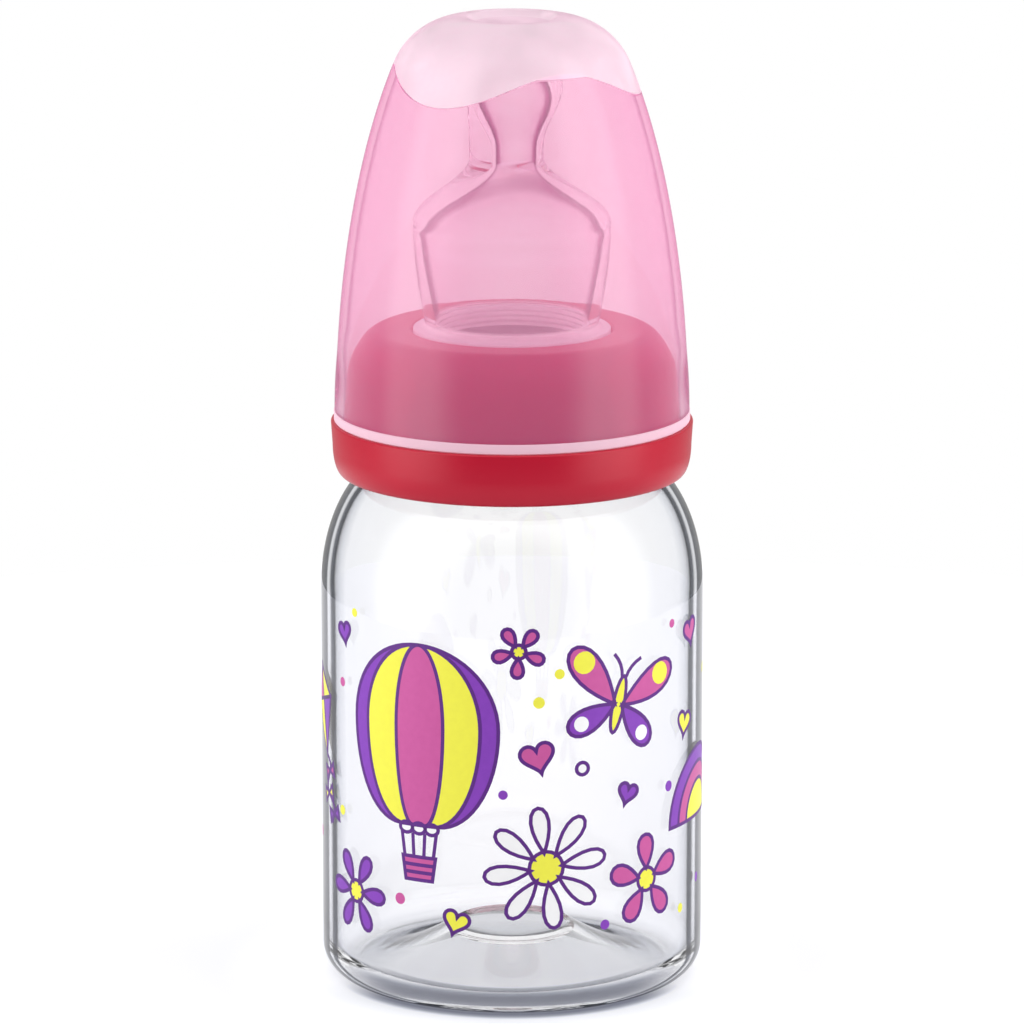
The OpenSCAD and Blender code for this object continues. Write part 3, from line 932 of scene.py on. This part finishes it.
def skinRings(heights, radii, shifts):  # one skin of the nipple from the bell up: (r, z, shift, depth)
    bell, waist, waistTop, bulb, tip = heights
    steps = teatSpec["nippleSteps"]
    levels = [bell + (waist - bell)*i/steps for i in range(steps + 1)]
    levels += [waistTop + (bulb - waistTop)*i/steps for i in range(steps + 1)]
    levels += [bulb + (tip - bulb)*math.sin(math.pi/2*i/steps) for i in range(1, steps + 1)]
    rings = []
    for z in levels:
        depth = blend(1, teatSpec["bulbFlat"], (z - bell)/(bulb - bell))
        if z <= waist:
            t = (z - bell)/(waist - bell)
            rings.append((blend(radii[0], radii[1], t), z, blend(0, shifts[0], t), depth))
        elif z < bulb:
            t = (z - waistTop)/(bulb - waistTop)
            rings.append((blend(radii[1], radii[2], t), z, blend(shifts[0], shifts[1], t), depth))
        else:
            r = radii[2]*math.sqrt(max(0, 1 - ((z - bulb)/(tip - bulb))**2))
            rings.append((r, z, shifts[1], depth))
    return rings


def makeTeat():
    spec = teatSpec
    low, high = boxMm("teat")
    ringTop = boxMm("screw_ring")[1].z
    rim, tip = low.z, high.z
    shelf = rim + spec["flangeThickness"]
    plugZ = ringTop + spec["plugLift"]
    footRadius = spec["plugRadius"] - spec["plugStep"]
    footZ = plugZ + spec["bellFillet"]
    bellZ = plugZ + spec["bellHeight"]
    waistZ = bellZ + spec["slopeHeight"]
    bulbZ = tip - spec["tipHeight"]
    seamZ = bellZ - spec["slopeWall"]

    def bellAt(z):
        return footRadius + (spec["bellRadius"] - footRadius)*math.sin(math.pi/2*(z - footZ)/(bellZ - footZ))

    def ring(points):
        return [(r, z, 0, 1) for r, z in points]

    edge, plugRound, fillet = spec["flangeRound"], spec["plugRound"], spec["bellFillet"]
    outer = (
        ring([(spec["recessRadius"], rim), (high.x - edge, rim), (high.x, rim + edge)])
        + ring([(high.x, shelf - edge), (high.x - edge, shelf), (spec["plugRadius"], shelf)])
        + ring(arc(spec["plugRadius"] - plugRound, plugZ - plugRound, plugRound, plugRound, 0, 90, 5))
        + ring(arc(footRadius + fillet, footZ, fillet, fillet, -90, -180, 8))
        + ring([(bellAt(z), z) for z in [footZ + (bellZ - footZ)*i/24 for i in range(1, 24)]])
        + skinRings(
            (bellZ, waistZ, waistZ + spec["waistHeight"], bulbZ, tip),
            (spec["bellRadius"], spec["waistRadius"], spec["bulbRadius"]),
            (spec["waistShift"], spec["bulbShift"])))
    bore = footRadius - spec["wall"]
    boreZ = rim + spec["recessHeight"] + (spec["recessRadius"] - bore)*spec["recessSlope"]
    inner = (
        ring([(spec["recessRadius"], rim + spec["recessHeight"])])
        + ring([(bore + spec["gripRing"]*(1 - math.cos(math.pi*i/3)), boreZ + (footZ - boreZ)*i/24)
                for i in range(24)])
        + ring([(bellAt(z) - blend(spec["wall"], spec["bellWall"], (z - footZ)/(seamZ - footZ)), z)
                for z in [footZ + (seamZ - footZ)*i/24 for i in range(24)]])
        + skinRings(
            (seamZ, waistZ - spec["slopeWall"], waistZ + spec["waistHeight"] - spec["slopeWall"]/2,
             bulbZ - spec["slopeWall"], tip - spec["tipWall"]),
            (bellAt(seamZ) - spec["bellWall"], spec["channelRadius"], spec["bulbRadius"] - spec["bulbWall"]),
            (spec["channelShift"], spec["channelShift"])))
    rings = outer + list(reversed(inner))

    def sectionAt(angle):
        return [(shift + r*math.cos(angle), depth*r*math.sin(angle), z) for r, z, shift, depth in rings]

    channelRows = range(len(outer), len(outer) + 2*spec["nippleSteps"] + 1)  # from the tip to the waist
    materials = [clearMoulding("clearSilicone", teatLook), clearMoulding("channelSilicone", channelLook)]
    piece = lathe("teatSkin", sectionAt, materials, len(outer), lambda j: int(j in channelRows))
    place(piece, "teat", "clear_silicone", "teat")


makeTeat()
print("teat made")


# Travel cap

capSpec = {  # millimetres
    "skirtBore": 22.9,
    "skirtWall": 1.2,
    "skirtHeight": 4.5,
    "beadWidth": 0.1,
    "beadHeight": 1.3,
    "beadRound": 0.15,
    "step": 0.15,
    "taper": 9.0,  # height over which the skirt runs out into the shell
    "wall": 1.0,
    "reach": 65.0,  # height of the ellipse that the shell's sides follow
    "corner": 10.0,
    "dish": 0.7,  # its depth
    "dishRadius": 6.5,
    "dishSlope": 1.8,
    "groove": 0.14,  # the fine line along the lower edge of the satin zone
    "satinEdge": 123.85,  # its mean height
    "satinSwing": 2.2,
    "satinLobes": 3,
    "satinTurn": 35,
}


def makeCap():
    spec = capSpec
    low, high = boxMm("cap")
    foot, top = low.z, high.z
    bore = spec["skirtBore"]
    skirt = bore + spec["skirtWall"] - spec["beadWidth"]
    skirtZ = foot + spec["skirtHeight"]
    cornerZ = top - spec["corner"]
    dishZ = top - spec["dish"]

    def radiusAt(z, inset):
        return (skirt - spec["step"] - inset)*math.sqrt(1 - ((z - foot)/(spec["reach"] - inset))**2)

    def cornerStart(inset):  # angle at which the corner's arc leaves the shell without a crease
        angle = 20.0
        for _ in range(12):
            z = cornerZ + (spec["corner"] - inset)*math.sin(math.radians(angle))
            u = (z - foot)/(spec["reach"] - inset)
            angle = math.degrees(math.atan(
                (skirt - spec["step"] - inset)/(spec["reach"] - inset)*u/math.sqrt(1 - u*u)))
        return angle

    def cornerArc(inset, steps=20):
        angle, radius = cornerStart(inset), spec["corner"] - inset
        z = cornerZ + radius*math.sin(math.radians(angle))
        x = radiusAt(z, inset) - radius*math.cos(math.radians(angle))
        return z, arc(x, cornerZ, radius, radius, angle, 90, steps)

    outerEnd, outerCorner = cornerArc(0)
    innerEnd, innerCorner = cornerArc(spec["wall"])

    def edgeZ(angle):
        turn = angle + math.pi/2 + math.radians(spec["satinTurn"])
        return spec["satinEdge"] - spec["satinSwing"]*math.cos(spec["satinLobes"]*turn)

    lowRows, highRows = 48, 12
    bead = skirt + spec["beadWidth"]
    start = foot + spec["beadHeight"] + spec["beadWidth"]
    footRows = [
        (bore, foot), (bead - spec["beadRound"], foot), (bead, foot + spec["beadRound"]),
        (bead, start - spec["beadWidth"])]
    dish = [(spec["dishRadius"] - spec["dishSlope"]*i/8, blend(top, dishZ, i/8)) for i in range(1, 9)]
    topRows = outerCorner[1:] + dish + [(0, dishZ)]
    innerRows = [(0, dishZ - spec["wall"])] + [
        (r, z - spec["wall"]) for r, z in reversed(dish)] + list(reversed(innerCorner))
    innerShell = [  # from the corner down to the skirt
        (blend(bore, radiusAt(z, spec["wall"]), (z - skirtZ)/spec["taper"]), z)
        for z in [innerEnd + (skirtZ - innerEnd)*i/lowRows for i in range(1, lowRows + 1)]]

    def sectionAt(angle):
        edge = edgeZ(angle)
        clear = [start + (edge - start)*i/lowRows for i in range(lowRows + 1)]
        lip = edge + spec["groove"]
        satin = [lip + (outerEnd - lip)*i/highRows for i in range(highRows + 1)]
        outer = [(blend(skirt, radiusAt(z, 0), (z - start)/spec["taper"]), z) for z in clear + satin]
        outer.insert(lowRows + 1, (radiusAt(edge, 0) - spec["groove"], (edge + lip)/2))
        inner = innerRows + innerShell + [(bore, skirtZ - spec["step"])]
        return spun(footRows + outer + topRows + inner, angle)

    firstSatin = len(footRows) + lowRows + 1
    lastSatin = firstSatin + highRows + len(topRows) + 1

    def slotAt(j):  # 0 clear, 1 satin, 2 the cut edge of the foot
        if j < len(footRows):
            return 2
        return 1 if firstSatin <= j < lastSatin + len(innerRows) else 0

    materials = [
        clearMoulding("pinkPolypropylene", capLook), clearMoulding("satinPolypropylene", satinLook),
        clearMoulding("footPolypropylene", footLook)]
    piece = lathe("capShell", sectionAt, materials, lastSatin, slotAt)
    place(piece, "cap", "pink_cap", "cap")


makeCap()
print("cap made")
